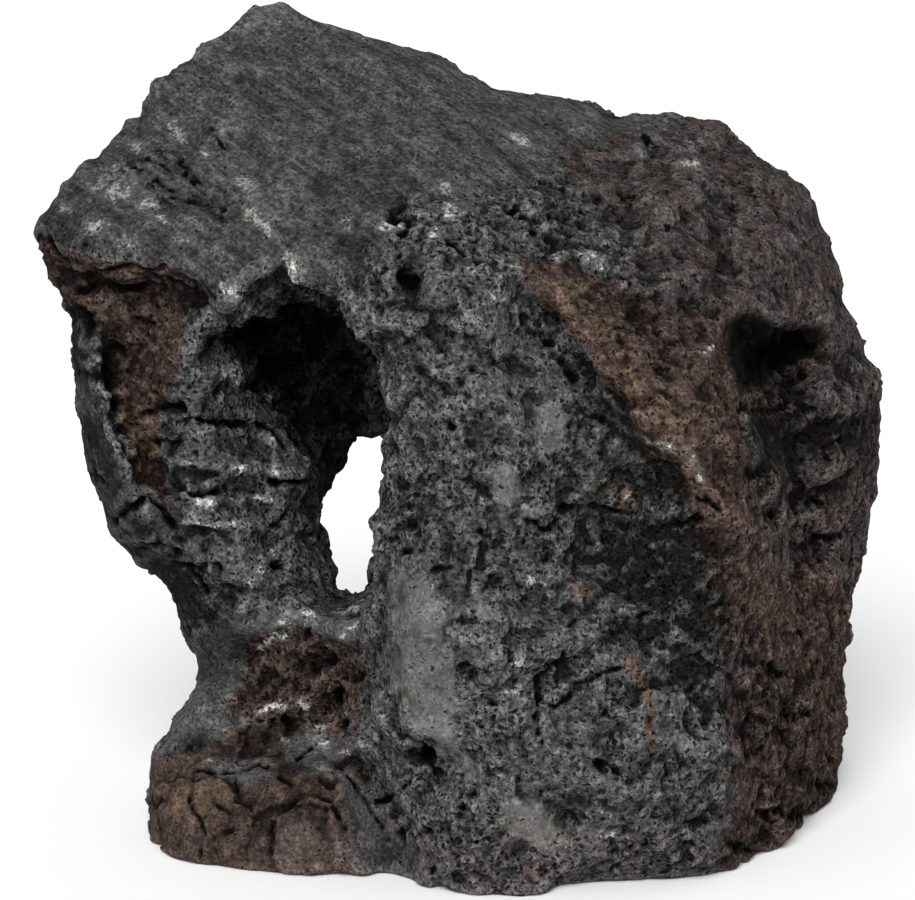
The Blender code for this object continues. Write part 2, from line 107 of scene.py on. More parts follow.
LEAN = math.radians(12.0)
RIGHT = np.array([1.0, 0.0, 0.0])
RISE = np.array([0.0, math.sin(LEAN), math.cos(LEAN)])
INTO = np.array([0.0, math.cos(LEAN), -math.sin(LEAN)])
BOARD_MIDDLE = np.array([-3.37, 0.37, 95.0])
SIGHT = 953.0  # mm from the eye to the board
ROCK_SEED = 11


def on_board(places):
    """(u, v) where the sight line to each place crosses the board, and its depth behind it.

    The place's distances to the right and up along the board shrink by 1 + depth / sight.
    """
    x, y, z = (places - BOARD_MIDDLE).T
    behind = y * math.cos(LEAN) - z * math.sin(LEAN)
    rise = y * math.sin(LEAN) + z * math.cos(LEAN)
    return np.column_stack([x, rise]) / (1.0 + behind / SIGHT)[:, None], behind


def ease(t):
    """Smooth step from 0 to 1: 3t^2 - 2t^3."""
    t = np.clip(t, 0.0, 1.0)
    return t * t * (3.0 - 2.0 * t)


def lattice_random(corners, seed, channels=3):
    """Even random numbers in 0..1 for whole-number lattice points, one column for each channel.

    The coordinates and the seed are multiplied by large odd numbers and added, the sum is stirred
    by shifts and multiplications in 64 bits, and each 21 bits of it make one number.
    """
    x, y, z = (corners[..., i].astype(np.int64).astype(np.uint64) for i in range(3))
    spread = x * np.uint64(0x9E3779B97F4A7C15) + y * np.uint64(0xC2B2AE3D27D4EB4F)
    spread += z * np.uint64(0x165667B19E3779F9)
    columns = []
    for channel in range(channels):
        if channel % 3 == 0:
            key = spread + np.uint64((seed * 8 + channel + 1) * 0x27D4EB2F165667C5 % 2**64)
            for shift, factor in ((30, 0xBF58476D1CE4E5B9), (27, 0x94D049BB133111EB)):
                key = (key ^ (key >> np.uint64(shift))) * np.uint64(factor)
            key ^= key >> np.uint64(31)
        bits = (key >> np.uint64(21 * (channel % 3))) & np.uint64(0x1FFFFF)
        columns.append(bits.astype(float) / 2**21)
    return np.stack(columns, axis=-1)


def swell(places, grain, seed):
    """Smooth random swell, about -1..1, with hills a grain apart.

    Each corner of a cubic lattice has a random slope; a place gets the heights of the eight
    slopes around it, blended by 6t^5 - 15t^4 + 10t^3 along each axis.
    """
    place = places / grain
    low = np.floor(place)
    within = place - low
    blend = within**3 * (within * (within * 6.0 - 15.0) + 10.0)
    total = np.zeros(len(places))
    for corner in np.ndindex(2, 2, 2):
        corner = np.array(corner)
        slope = lattice_random(low + corner, seed, 3) * 2.0 - 1.0
        weight = np.where(corner, blend, 1.0 - blend).prod(axis=1)
        total += weight * ((within - corner) * slope).sum(axis=1)
    return total * 1.6


plain_board, depth = on_board(points)
facing = ease((0.12 - normals @ INTO) / 0.3)  # 1 on skin that faces the board, 0 on skin that faces away
wander = np.column_stack([swell(points, 6.0, ROCK_SEED + 7), swell(points, 6.0, ROCK_SEED + 8)])
board = plain_board + 1.1 * wander
stray = swell(points, 2.6, ROCK_SEED + 5) + 0.6 * swell(points, 1.3, ROCK_SEED + 6)  # frays a mark's edge
broken = ease(0.85 + 1.5 * swell(points, 4.0, ROCK_SEED + 4))  # nearly closes a crack here and there


# ---------------------------------------------------------------------------------------------
# The porous skin. Basalt froth that broke unevenly: lumps a centimetre across with sharp valleys,
# each carrying its own small flats and grit, and gas pits of every size that open at the skin.
# Every zone is kept as how far inside it a point lies, in mm, and outside it as less than nothing.

FLATS = ((14.0, 0.9), (6.0, 0.7), (3.2, 0.35))  # mm across, mm of tilt and step
PITS = (  # mm apart, radius as a share of that, mm deep, share of places with a pit
    (9.0, 0.17, 2.2, 0.14),
    (4.3, 0.22, 1.6, 0.26),
    (2.6, 0.28, 1.0, 0.30),
)
FAR = 12.0  # mm, the furthest that a distance is told


def rough_swell(places, grain, seed, octaves=3, crease=0.0):
    """Swells of halving grain and halving height, added. With crease 1 they meet in sharp valleys."""
    total = np.zeros(len(places))
    for octave in range(octaves):
        wave = swell(places, grain / 2**octave, seed + 31 * octave)
        total += ((1.0 - crease) * wave + crease * (2.0 * np.abs(wave) - 0.5)) / 2**octave
    return total


def bubbles(places, grain, seed):
    """Cells scattered a grain apart: distance to the nearest middle, to the next, and three random
    numbers of the nearest cell, with the way to its middle.

    Each cube of a lattice holds one middle at a random place, and the 27 cubes around a place are
    looked through. Distances are in grains.
    """
    place = places / grain
    home = np.floor(place)
    nearest = np.full(len(places), 9.0)
    second = np.full(len(places), 9.0)
    way = np.zeros((len(places), 3))
    traits = np.zeros((len(places), 3))
    for step in np.ndindex(3, 3, 3):
        cube = home + np.array(step) - 1.0
        lot = lattice_random(cube, seed, 6)
        off = cube + lot[:, :3] - place
        gap = np.linalg.norm(off, axis=1)
        closer = gap < nearest
        second = np.where(closer, nearest, np.minimum(second, gap))
        nearest = np.where(closer, gap, nearest)
        way[closer] = off[closer]
        traits[closer] = lot[closer, 3:]
    return nearest, second, traits, way * grain


warped = points + 1.1 * np.column_stack([swell(points, 3.4, ROCK_SEED + 10 + i) for i in range(3)])
warped += 2.6 * np.column_stack([swell(points, 10.0, ROCK_SEED + 15 + i) for i in range(3)])
porous = 0.8 * rough_swell(points, 24.0, ROCK_SEED + 20)
porous += 0.42 * rough_swell(points, 8.0, ROCK_SEED + 30, octaves=3, crease=0.4)
porous += 0.22 * swell(points, 1.9, ROCK_SEED + 35)
for level, (grain, height) in enumerate(FLATS):
    nearest, second, traits, way = bubbles(warped, grain, ROCK_SEED + 40 + level)
    tilt = (way * (traits * 2.0 - 1.0)).sum(axis=1) / grain
    valley = np.exp(-(second - nearest) / 0.05)
    porous += height * (1.2 * tilt + 0.8 * (traits[:, 0] - 0.5) - 0.25 * valley)
froth = ease(0.5 + 0.9 * rough_swell(points, 19.0, ROCK_SEED + 50, octaves=2))
pits = np.zeros(len(points))
for level, (grain, size, deep, common) in enumerate(PITS):
    nearest, _, traits, _ = bubbles(warped, grain, ROCK_SEED + 60 + level)
    width = size * (0.5 + 0.5 * traits[:, 0])
    there = traits[:, 1] < common * (0.35 + 1.1 * froth)
    pits += np.where(there, deep * ease(1.35 - 1.35 * nearest / width), 0.0)
relief = porous - pits
froth = 0.45 + 0.55 * froth
rust = 7.0 * rough_swell(points, 48.0, ROCK_SEED + 70, octaves=2) - 3.0
rust = np.minimum(rust, FAR) * (1.0 - facing) - FAR * facing
ochre = np.full(len(points), -FAR)
calm = np.full(len(points), -FAR)
crust = np.zeros(len(points))
cracks = np.zeros(len(points))
shade_light_and_tone = 0.13 * rough_swell(points, 14.0, ROCK_SEED + 75, octaves=3)


# ---------------------------------------------------------------------------------------------
# The roof. The one big plane of the stone, the basalt of a flow's surface that cooled against air:
# close grained, drawn out in faint ribs as it moved, with torn furrows near its left edge.

ROOF = (
    (-112, 58), (-70, 104), (-44, 120), (20, 100), (60, 90), (44, 80), (24, 70), (4, 62), (-14, 64),
    (-18, 52), (-24, 43), (-40, 48), (-56, 42), (-72, 47), (-86, 49), (-98, 53),
)
TORN = (  # crossed by rows of small tears
    (-86, 72), (-80, 75), (-75, 77), (-68, 73), (-58, 66), (-50, 60), (-50, 55), (-58, 56), (-66, 59),
    (-76, 61), (-84, 65),
)
FURROWS = (
    ((-68, 87.5), (-64.5, 84), (-62, 81), (-60, 78), (-58, 76)), ((-71.5, 84.5), (-71.5, 82)),
    ((-81, 72), (-79, 70.5), (-76, 69.5)), ((-75, 75), (-72, 71)), ((-76, 68), (-73.5, 66), (-71, 65)),
    ((-69, 69.5), (-66.5, 68.5)), ((-70.5, 72.5), (-67.5, 70.5)),
)
FALL = math.radians(-37.0)  # the way the ribs run on the board
DRAWN_OUT = 5.0  # times longer than wide


def along(path):
    """Distance from each board point to the path, and its side: +1 right of it as it is walked.

    On each leg the nearest place is the point's shadow on it, held between its ends.
    """
    path = np.asarray(path, float)
    gap = np.full(len(board), FAR)
    side = np.ones(len(board))
    low, high = path.min(axis=0) - FAR, path.max(axis=0) + FAR
    near = np.nonzero(((board > low) & (board < high)).all(axis=1))[0]
    for a, b in zip(path, path[1:]):
        run = b - a
        off = board[near] - a
        t = np.clip(off @ run / (run @ run), 0.0, 1.0)
        reach = np.linalg.norm(off - t[:, None] * run, axis=1)
        closer = reach < gap[near]
        gap[near[closer]] = reach[closer]
        side[near[closer]] = np.sign(off[closer, 0] * run[1] - off[closer, 1] * run[0])
    return gap, side


def ring_reach(ring):
    """Distance in mm from each board point to a closed ring, positive inside it.

    A point is inside if a level line from it to the right crosses the ring an odd number of times.
    """
    ring = np.asarray(ring, float)
    closed = np.vstack([ring, ring[:1]])
    gap, _ = along(closed)
    odd = np.zeros(len(board), bool)
    for a, b in zip(closed, closed[1:]):
        spans = (a[1] > board[:, 1]) != (b[1] > board[:, 1])
        rise = b[1] - a[1] if b[1] != a[1] else 1e-9
        odd ^= spans & (board[:, 0] < a[0] + (board[:, 1] - a[1]) * (b[0] - a[0]) / rise)
    return np.where(odd, gap, -gap)


def on_face(reach):
    """The same reach into a zone, but far outside on skin that faces away from the board."""
    return reach * facing - FAR * (1.0 - facing)


def share(reach, edge=4.0):
    """Share of a zone's own surface: 0 outside and 1 inside, eased over an edge this wide."""
    return ease(0.5 + reach / edge)


def lay(cover, height, bubbly):
    """Fades a zone's own relief and froth in over what lies there, by its share of the surface."""
    relief[:] += cover * (height - relief)
    froth[:] += cover * (bubbly - froth)


def split(paths, width, deep, dark, wander=0.6):
    """Cuts a crack along each path and paints shade into it, on skin that faces the board.

    It is deepest on its line and fades as exp(-(gap / width)^2), and it wanders off the path.
    """
    for path in paths:
        gap, _ = along(path)
        torn = np.exp(-(((gap + wander * stray) / width) ** 2)) * facing * broken
        relief[:] -= deep * torn
        cracks[:] = np.maximum(cracks, dark * torn)


roof = share(on_face(ring_reach(ROOF)), 9.0)
down_ribs = board[:, 0] * math.cos(FALL) + board[:, 1] * math.sin(FALL)
across_ribs = board[:, 1] * math.cos(FALL) - board[:, 0] * math.sin(FALL)
drawn = np.column_stack([down_ribs / DRAWN_OUT, across_ribs, depth / DRAWN_OUT])
ribs = rough_swell(drawn, 3.4, ROCK_SEED + 80, octaves=3, crease=0.2)
lay(roof, 0.2 * porous - 0.12 * pits + 0.42 * ribs, 0.08)
shade_light_and_tone -= 0.18 * roof * ribs
torn_skin = rough_swell(drawn * [1.6, 1.0, 1.6], 1.7, ROCK_SEED + 84, octaves=2)
scar = share(on_face(ring_reach(TORN)), 7.0) * ease(2.6 * torn_skin - 0.3)
relief -= 0.45 * scar
froth += 0.5 * scar
# Painted shade in the tears.
cracks = np.maximum(cracks, 0.85 * scar)
split(FURROWS, width=0.6, deep=0.7, dark=0.95)


# ---------------------------------------------------------------------------------------------
# The broken lip. Under the roof's left edge the flow snapped off and shows its inside, basalt burnt
# to rust in crumbling leaves, with a tongue that turns ochre as it runs down beside the pillar.

LIP = (
    (-108, 55), (-97, 50), (-84, 47), (-72, 46), (-61, 41), (-60, 35), (-69, 35), (-69, 19), (-74, 11),
    (-74, 2), (-72, -13), (-76, -12), (-80, -3), (-83, 5), (-86, 10), (-88, 29), (-96, 34), (-101, 38),
    (-107, 45),
)
TONGUE = ((-84, 11), (-75, 11), (-75, 0), (-74, -6), (-78, -7), (-81, -1), (-83, 5))
LEAF = 4.6  # mm
LIP_CRACKS = (  # path, mm wide, mm deep
    (((-95, 34), (-90, 29), (-87, 21), (-85.4, 9.5), (-82.4, 1.5), (-78.5, -6.4)), 1.8, 3.2),
    (((-99, 19), (-93, 19.5), (-88, 17.5)), 1.3, 3.0),
    (((-104, 53), (-98, 48), (-92, 44), (-84, 46)), 1.0, 1.4),
    (((-84, 46), (-78, 44), (-74, 46)), 0.8, 1.2),
    (((-72, 42), (-66, 40), (-61, 38)), 1.0, 1.4),
    (((-95, 40), (-90, 41), (-84, 40), (-78, 41)), 0.9, 1.6),
    (((-87, 27), (-84, 25)), 1.2, 1.5),
    (((-80, 33), (-76, 32)), 0.9, 1.2),
    (((-78, 8), (-74, 11), (-69, 11)), 1.0, 1.5),
)

lip = on_face(ring_reach(LIP))
rust = np.maximum(rust, 2.0 * lip)
ochre = np.maximum(ochre, 2.0 * on_face(ring_reach(TONGUE)))
leaves = rough_swell(points * [0.8, 1.0, 1.7], LEAF, ROCK_SEED + 90, octaves=3, crease=0.7)
lay(share(lip), 0.85 * leaves + 0.5 * porous - 0.4 * pits, 0.5)
for path, width, deep in LIP_CRACKS:
    split([path], width, deep, dark=0.9)


# ---------------------------------------------------------------------------------------------
# The left pillar. Thin beds of basalt, laid one on another by the flow, run round into the cave. Each
# crest is sharp and pale over a groove darkened with painted shade, the outermost bed is smooth and
# split by cracks, and a tattered rim and a chamber darkened with painted shadow are left where gas
# blew the cave out.

BEDS = (  # their crests, from left to right
    ((-70, 4.2), (-64, 4.8), (-58, 4.2), (-52, 3.8), (-46, 2.5)),
    ((-71, -3), (-66, -3.4), (-62, -3.6), (-57, -4.8), (-50, -5), (-40, -7)),
    ((-66, -12), (-60, -13), (-52, -12), (-44, -13)),
    ((-68, -18), (-62, -18.8), (-57, -18.5), (-50, -19), (-42, -20)),
    ((-58, -32), (-54, -31), (-50, -29), (-46, -26)),
)
GROOVES = (
    ((-73, 11.5), (-70, 11), (-68, 9.5)), ((-69, 7), (-63, 7.5), (-57, 6.6), (-52, 5.6)),
    ((-50, 6.5), (-46, 5), (-43, 2), (-40, 1)), ((-75, 2), (-70, 1.5)),
    ((-70, -8.5), (-66, -10.5), (-60, -10.5)), ((-46, -7.5), (-42, -8.5), (-37, -8)),
    ((-46, -19.5), (-43.5, -18), (-42, -16)), ((-47, -28.5), (-43, -29)), ((-40, -27), (-39, -29)),
    ((-85, -17), (-80, -13.5), (-77, -12), (-74, -14.5), (-71, -18), (-70, -22), (-68, -24)),
    ((-79, -24), (-74, -24), (-70, -26)), ((-70, -29), (-65, -29.5), (-60, -29)),
    ((-67, -31), (-63, -35)), ((-61, -45), (-59, -44.5)), ((-96, -7), (-91, -6), (-88, -9)),
)
RIM = (  # the cave's upper edge
    (-60, 33), (-53, 38), (-47, 41.5), (-41, 42.5), (-36, 41), (-31, 39), (-26, 35), (-23, 29), (-22, 22),
    (-22, 12),
)
OUTER_BED = (
    (-104, 32), (-94, 31), (-91, 20), (-89, 10), (-85, -2), (-80, -12), (-74, -16), (-66, -26),
    (-70, -44), (-92, -36), (-106, 0),
)
CHAMBER = (
    (-62, 29), (-52, 35), (-42, 39), (-34, 36), (-26, 33), (-22, 22), (-20, 5), (-20, -1), (-28, -8),
    (-32, -13), (-35, -10), (-37.5, 0), (-44.5, 12), (-53, 21),
)
CREST = 1.2  # mm proud
MOUTH_DEPTH, CHAMBER_DEPTH = -30.0, 48.0  # mm, y where the chamber's dark begins and ends

lay(share(on_face(ring_reach(OUTER_BED)), 6.0), 0.6 * porous - 0.3 * pits, 0.25)
for path in BEDS:
    gap, side = along(path)
    below = gap * side
    relief += facing * CREST * np.exp(-np.maximum(below, 0.0) / 0.9) * np.exp(np.minimum(below, 0.0) / 3.5)
    pale_crest = np.exp(-(((gap + 0.4 * stray) / 0.9) ** 2))
    pale_crest *= ease(0.45 + 1.8 * swell(points, 5.0, ROCK_SEED + 100))
    crust = np.maximum(crust, pale_crest * facing)
split(GROOVES, width=0.85, deep=2.0, dark=1.0)
gap, _ = along(RIM)
tatters = rough_swell(points * [1.7, 1.0, 0.8], 3.6, ROCK_SEED + 105, octaves=3, crease=0.9)
hanging = np.maximum(-normals[:, 2], 0.0)
relief += (1.3 * tatters + 2.4 + 2.4 * hanging) * np.exp(-((gap / 3.8) ** 2))
# Painted shadow deep in the cave's chamber, between its mouth and its far wall.
painted_shadow = share(ring_reach(CHAMBER), 6.0) * ease((points[:, 1] - MOUTH_DEPTH) / 12.0)
painted_shadow *= ease((CHAMBER_DEPTH - points[:, 1]) / 8.0)


# ---------------------------------------------------------------------------------------------
# The waist and its foot. Below the hole the basalt narrows to smooth dark rock scored with pale
# scratches, then crumbles to rust in the hollow, and ends in big brown blocks parted by seams.

CRUMBLY = (
    (-54, -47), (-42, -45), (-27, -48), (-22, -52), (-24, -62), (-27, -73), (-32, -71), (-40, -74),
    (-50, -68), (-58, -66), (-53, -57),
)
FOOT = (
    (-84, -76), (-72, -76.5), (-61, -73), (-50, -68), (-42, -73), (-30, -74), (-22, -82), (-26, -94),
    (-27, -106), (-30, -114), (-84, -114),
)
OCHRE_BLOCK = (
    (-70, -85), (-64, -83), (-58, -82), (-55, -86), (-56, -90), (-61, -91), (-65, -93.5), (-71, -92),
)
SHELL = (  # the block that stands proud
    (-47, -103), (-46.5, -95), (-43, -89.5), (-37, -86), (-31.5, -89), (-28, -95), (-27, -103),
    (-31, -109), (-42, -109),
)
SMOOTH_WAIST = (
    (-64, -44), (-52, -40), (-40, -40), (-28, -38), (-23, -46), (-26, -49), (-42, -44), (-54, -48),
    (-54, -58), (-57, -68), (-60, -73), (-72, -74), (-76, -66), (-70, -52),
)
GREY_FACES = (  # the smooth faces between the blocks
    ((-31, -80), (-26, -79), (-17, -91), (-7, -105), (-5, -110), (-24, -112), (-27, -103), (-27, -95),
     (-29, -88)),
    ((-60, -76.5), (-48, -76.5), (-45, -81), (-52, -83.5), (-60, -81.5)),
    ((-41, -71), (-34, -69), (-30, -74), (-31, -81), (-38, -81), (-43, -76)),
)
SEAMS = (
    ((-67, -87), (-64.5, -92.5), (-61, -89), (-57, -90.5)), ((-64.5, -92.5), (-63.5, -97), (-64, -104)),
    ((-58, -95.5), (-56, -94.5)),
    ((-47, -104), (-46.5, -95), (-43, -89.5), (-37, -86), (-31.5, -89), (-28, -95)),
    ((-30, -77), (-25, -85), (-20, -92), (-17, -97)), ((-56, -82), (-55, -87)),
    ((-66, -80), (-56, -80), (-50, -78), (-44, -81), (-40, -85)), ((-80, -90), (-73, -87)),
    ((-40, -77), (-36, -74)),
)
DARK_GAPS = (  # u, v, width
    (-36, -55, 1.3), (-32, -52.5, 1.5), (-28, -56, 1.6), (-25, -57, 1.4), (-30, -62, 1.8),
    (-40, -54, 1.0), (-48, -57, 1.2), (-46, -68.5, 1.5), (-42, -68, 1.5), (-50, -67, 1.2),
    (-28, -68, 1.0), (-38, -47, 1.4), (-52, -70, 1.0),
)
SCRATCHES = (
    ((-50, -50), (-46.5, -47.5), (-43, -45.5), (-41.5, -44)), ((-45.5, -44), (-41.5, -41.7)),
    ((-39.5, -41.2), (-36.6, -40.4)), ((-30, -40.6), (-25, -40.2)), ((-29.5, -46.7), (-25, -43.3)),
    ((-53.4, -31.6), (-49, -30.5)), ((-49.6, -65), (-47, -64.2)), ((-40.5, -63.8), (-37.6, -65)),
    ((-35, -68.5), (-33, -69.4)), ((-43.4, -72.3), (-41.6, -72.8)), ((-34.6, -72.3), (-32.5, -73.3)),
    ((-46, -64.5), (-43, -63.5)),
)
BLOCK = 22.0  # mm across
GAP_DEPTH = 1.5
SHELL_HEIGHT = 1.5


def bore(u, v, width, deep):
    """Sinks a round hole with a ragged edge, deepest in its middle, and paints shade into it.

    It fades as exp(-(gap / width)^2 - 1.1 stray), held at 1, on skin that faces the board.
    """
    far = ((board - (u, v)) ** 2).sum(axis=1) / width**2
    hole = np.minimum(np.exp(-(far + 1.1 * stray)), 1.0) * facing
    relief[:] -= deep * hole
    cracks[:] = np.maximum(cracks, 0.9 * hole)


crumbly, foot, waist = (on_face(ring_reach(ring)) for ring in (CRUMBLY, FOOT, SMOOTH_WAIST))
grey_face = np.max([on_face(ring_reach(ring)) for ring in GREY_FACES], axis=0)
waist = np.maximum(waist, grey_face)
rubble = rough_swell(warped, 4.6, ROCK_SEED + 110, octaves=3, crease=0.8)
nearest, second, traits, way = bubbles(warped, BLOCK, ROCK_SEED + 112)
blocks = 2.6 * (way * (traits * 2.0 - 1.0)).sum(axis=1) / BLOCK - 0.5 * np.exp(-(second - nearest) / 0.03)
lay(share(crumbly), 0.8 * rubble + 0.5 * porous - 0.3 * pits - 0.4, 0.8)
lay(share(foot), blocks + 0.12 * porous, 0.12)
lay(share(waist), 0.25 * porous - 0.1 * pits, 0.18)
relief += SHELL_HEIGHT * ease(on_face(ring_reach(SHELL)) / 4.0)
rust = np.maximum(rust, 1.5 * np.maximum(crumbly, foot))
rust = np.minimum(rust, -1.2 * grey_face)
ochre = np.maximum(ochre, 2.5 * on_face(ring_reach(OCHRE_BLOCK)))
ochre = np.maximum(ochre, np.minimum(foot, -1.2 + 2.0 * swell(points, 9.0, ROCK_SEED + 114)))
ochre = np.minimum(ochre, -1.2 * grey_face)
split(SEAMS, width=0.6, deep=1.2, dark=0.9, wander=0.3)
for u, v, width in DARK_GAPS:
    bore(u, v, width, GAP_DEPTH)
for path in SCRATCHES:
    gap, _ = along(path)
    crust = np.maximum(crust, 1.8 * np.exp(-(((gap + 0.15 * stray) / 0.6) ** 2)) * facing)


# ---------------------------------------------------------------------------------------------
# The front. The boldest froth of the basalt, opened where the block split off its neighbour. A few
# patches of close-grained pale skin are left on it, between cracks, deep holes and small overhangs,
# and iron has stained some of the pores ochre.

SKIN = (  # the biggest patch
    (-18, -31), (-14, -29), (-10, -30), (-6, -33), (-3, -40), (-1, -50), (0, -60), (0, -70), (2, -75),
    (4.5, -80), (3, -85), (0, -82), (-3, -78), (-8, -74), (-12, -71), (-14, -66), (-13, -61), (-18, -60),
    (-18, -50), (-16, -45), (-18, -38),
)
PATCHES = (
    ((11, -88), (20, -87), (24, -91), (27, -97), (24, -101), (18, -99), (12, -95)),
    ((19.5, 11), (23, 12.5), (26.5, 11), (27.5, 6), (27, 0), (24, -2.5), (20.5, -1), (19.5, 5)),
    ((9.5, -3), (13, -2.5), (15, -5), (15.5, -11), (12, -14), (9, -12), (8.5, -7)),
    ((4, -34), (6, -34), (8, -39), (10, -40), (9, -43), (6, -41), (4, -38)),
    ((-45, -92), (-38, -88), (-32, -92), (-29, -98), (-30, -105), (-40, -106), (-46, -101)),
)
HOLES = (  # u, v, width, depth
    (-13, 43.5, 2.0, 3), (-11.5, 41.5, 2.0, 3), (-14.5, 61.5, 1.6, 2.2), (-15.5, 58.5, 1.6, 2.4),
    (-12.5, 57.5, 1.4, 2.0), (-13.5, 55, 1.2, 1.6), (13, 60, 1.5, 2), (14.5, 61.5, 1.2, 1.5),
    (16, 58.5, 1.2, 1.5), (19, 58, 1.2, 2), (19, 55, 1.2, 2), (22.5, 58, 0.8, 1), (23.5, 52.5, 1.5, 2),
    (27, 54, 0.8, 1), (31, 59.5, 0.9, 1), (31, 56, 0.8, 1), (41, 63, 1.6, 2), (43.5, 63, 1.4, 2),
    (36, 63, 1.3, 1.2), (45.5, 47, 1.2, 1.5), (60, 65, 0.8, 1), (68.5, 60.5, 1.4, 1.5),
    (68.5, 55.5, 1.0, 1), (53, 56, 1.2, 1), (53, 45, 1.3, 1.2), (70, 39, 1.3, 1.5), (67, 37, 1.2, 1.2),
    (78, 37, 1.0, 1), (47, 78, 1.4, 1.2), (28.5, 18.5, 1.5, 2), (22.5, 26.5, 1.4, 1.5),
    (26, 22.5, 1.1, 1.2), (4.5, 20.8, 1.0, 1.2), (14, 13.5, 1.2, 1.5), (1, 17.5, 1.0, 1.2),
    (-9, 20, 1.0, 1.2), (-8.5, -77.5, 3.2, 4.5), (-5.5, -79.5, 1.8, 3), (-11.5, -75.5, 1.8, 2.5),
    (-2, -79, 0.8, 1), (4, -86, 1.3, 2), (1.5, -90, 1.0, 2), (1, -92.5, 0.8, 1.5), (9, -63, 0.9, 1.5),
    (10, -67, 0.8, 1.5), (36, -79, 1.6, 2), (40, -80, 1.4, 2), (21, -74, 0.9, 1.5), (-2, 6, 1.6, 2),
    (6, -20, 1.5, 2), (-12, -18, 1.6, 2.5), (-9, -24, 1.4, 2), (-14, -25, 1.3, 2), (44, -31, 1.5, 2),
    (50, -29, 1.4, 2), (38, -34, 1.2, 1.5), (52, 20, 1.1, 1.2), (66, 20, 0.9, 1), (69, 19, 0.9, 1),
    (38.5, 29, 0.9, 1), (50.5, 8, 0.8, 1), (36, 8, 1.2, 1.5), (-6, -105, 1.3, 1.5), (58.8, -59.5, 0.8, 1),
    (60, -37, 1.3, 1.5), (57, -34, 1.2, 1.5),
)
SPLITS = (
    ((27, -51), (23, -55), (20, -58), (20, -62), (24, -64), (28, -62), (29.5, -59), (28.5, -57)),
    ((29.5, -59), (34, -58), (38, -55), (42, -53)), ((20, -62), (19.5, -66), (21, -73)),
    ((-6, -30), (-2, -29)), ((-20, -88), (-16, -86), (-12, -83)), ((-14, -95), (-11, -97), (-7, -95)),
    ((26, -90), (29, -92.5), (33, -93.5), (36, -92.5)),
    ((17, -17.5), (22, -19.5), (24.5, -18), (27, -14), (31, -13.5), (35, -14.5), (43, -16)),
    ((28, -43.5), (30, -42)), ((45, -42), (50, -38)), ((-19, 44), (-14, 48)), ((5, -98), (12, -96)),
    ((17, -64), (14, -65)), ((-17, 60), (-16, 57), (-14, 54)), ((-12, 58), (-10, 57)),
    ((-4, 52), (0, 50.5), (2, 50)), ((4, 49), (6, 47)), ((46, 78.5), (49, 76), (52, 73)),
    ((56, 60), (57, 57), (57, 55)), ((50, 40), (53, 41), (58, 40), (60, 37)), ((40, 44), (44, 41)),
)
OCHRE_SPOTS = (  # u, v, radius
    (37, -8, 2.4), (43, -12, 3.6), (44, -14, 2.4), (31, -35, 2.6), (44, -53, 2.4), (18, -106, 1.5),
    (46, -2, 1.1),
)
OCHRE_RUN = ((44, -53), (46.5, -58), (48, -66), (48, -76))
OCHRE_RUN_WIDTH = 1.3  # mm to each side

calm = np.maximum(calm, on_face(ring_reach(SKIN)))
for ring in PATCHES:
    calm = np.maximum(calm, 1.7 * on_face(ring_reach(ring)))
lay(share(calm, 6.0), 0.3 + 0.35 * porous - 0.2 * pits + 0.2 * stray, 0.16)
for hole in HOLES:
    bore(*hole)
split(SPLITS, width=0.62, deep=1.6, dark=1.0, wander=0.7)
gap, _ = along(OCHRE_RUN)
ochre = np.maximum(ochre, on_face(2.5 * (OCHRE_RUN_WIDTH - gap)))
for u, v, width in OCHRE_SPOTS:
    ochre = np.maximum(ochre, on_face(2.5 * (width - np.linalg.norm(board - (u, v), axis=1))))


# ---------------------------------------------------------------------------------------------
# The buttress and the right flank. A rib of brown, sandy lava runs down from the roof, cooled more
# slowly than the froth around it. Behind it the basalt is burnt red-brown throughout, in crumbling
# beds with a deep hollow at their head, under a coarse shoulder. The hollow and the bed under it are
# darkened with painted shadow.

BUTTRESS = (
    (14, 48), (26, 47), (38, 42), (48, 39), (60, 36), (68, 31), (72, 15), (73, 0), (77, -18), (79, -28),
    (88, -48), (76, -50), (68, -38), (61, -28), (58, -14), (50, 0), (38, 16), (30, 28), (21, 36),
)
SANDY = (  # the ochre middle of the buttress
    (20, 43), (31, 41), (40, 33), (50, 20), (60, 6), (66, -4), (68, -12), (61, -13), (52, 0), (42, 16),
    (31, 30),
)
SHOULDER = (
    (26, 75), (46, 80), (61, 84), (76, 76), (90, 66), (100, 50), (104, 34), (96, 28), (81, 28), (68, 30),
    (61, 36), (48, 39), (42, 45), (47, 55), (36, 62), (28, 68),
)
MOUTH = (  # the hollow at the beds' head
    (69, 30), (71, 32.5), (75, 33), (79, 30.5), (84, 29.5), (89, 30), (91, 28.5), (88, 26), (84, 25),
    (80, 22), (77, 19), (74, 16), (71.5, 15), (70.5, 19), (69, 25),
)
SHADE = (  # the bed under it, darkened with painted shadow
    (69.5, 22), (74, 22), (84, 24.5), (90, 24), (91, 12), (90, 3), (83, -6), (75, -8), (73, 4),
)
SHADOWS = (
    ((71, 12), (76, 12), (81, 11.5), (84, 12.5)), ((72, 10.5), (79, 10), (84, 9), (88, 10)),
    ((92, 1), (97, 3)), ((90, -22), (95, -22)), ((88, -13), (91, -13)), ((78, -53), (84, -58)),
    ((82, -66), (88, -66)), ((89, -82), (94, -84)), ((75, -90), (82, -90)), ((70, -100), (78, -102)),
    ((60, -12), (63, -13), (66, -14.5)), ((50, -18), (56, -19), (60, -17)),
)
LOW_FLANK = (
    (65, -30), (66, -50), (68, -66), (69, -80), (70, -96), (69, -108), (110, -108), (112, -70),
    (112, -34), (86, -26),
)
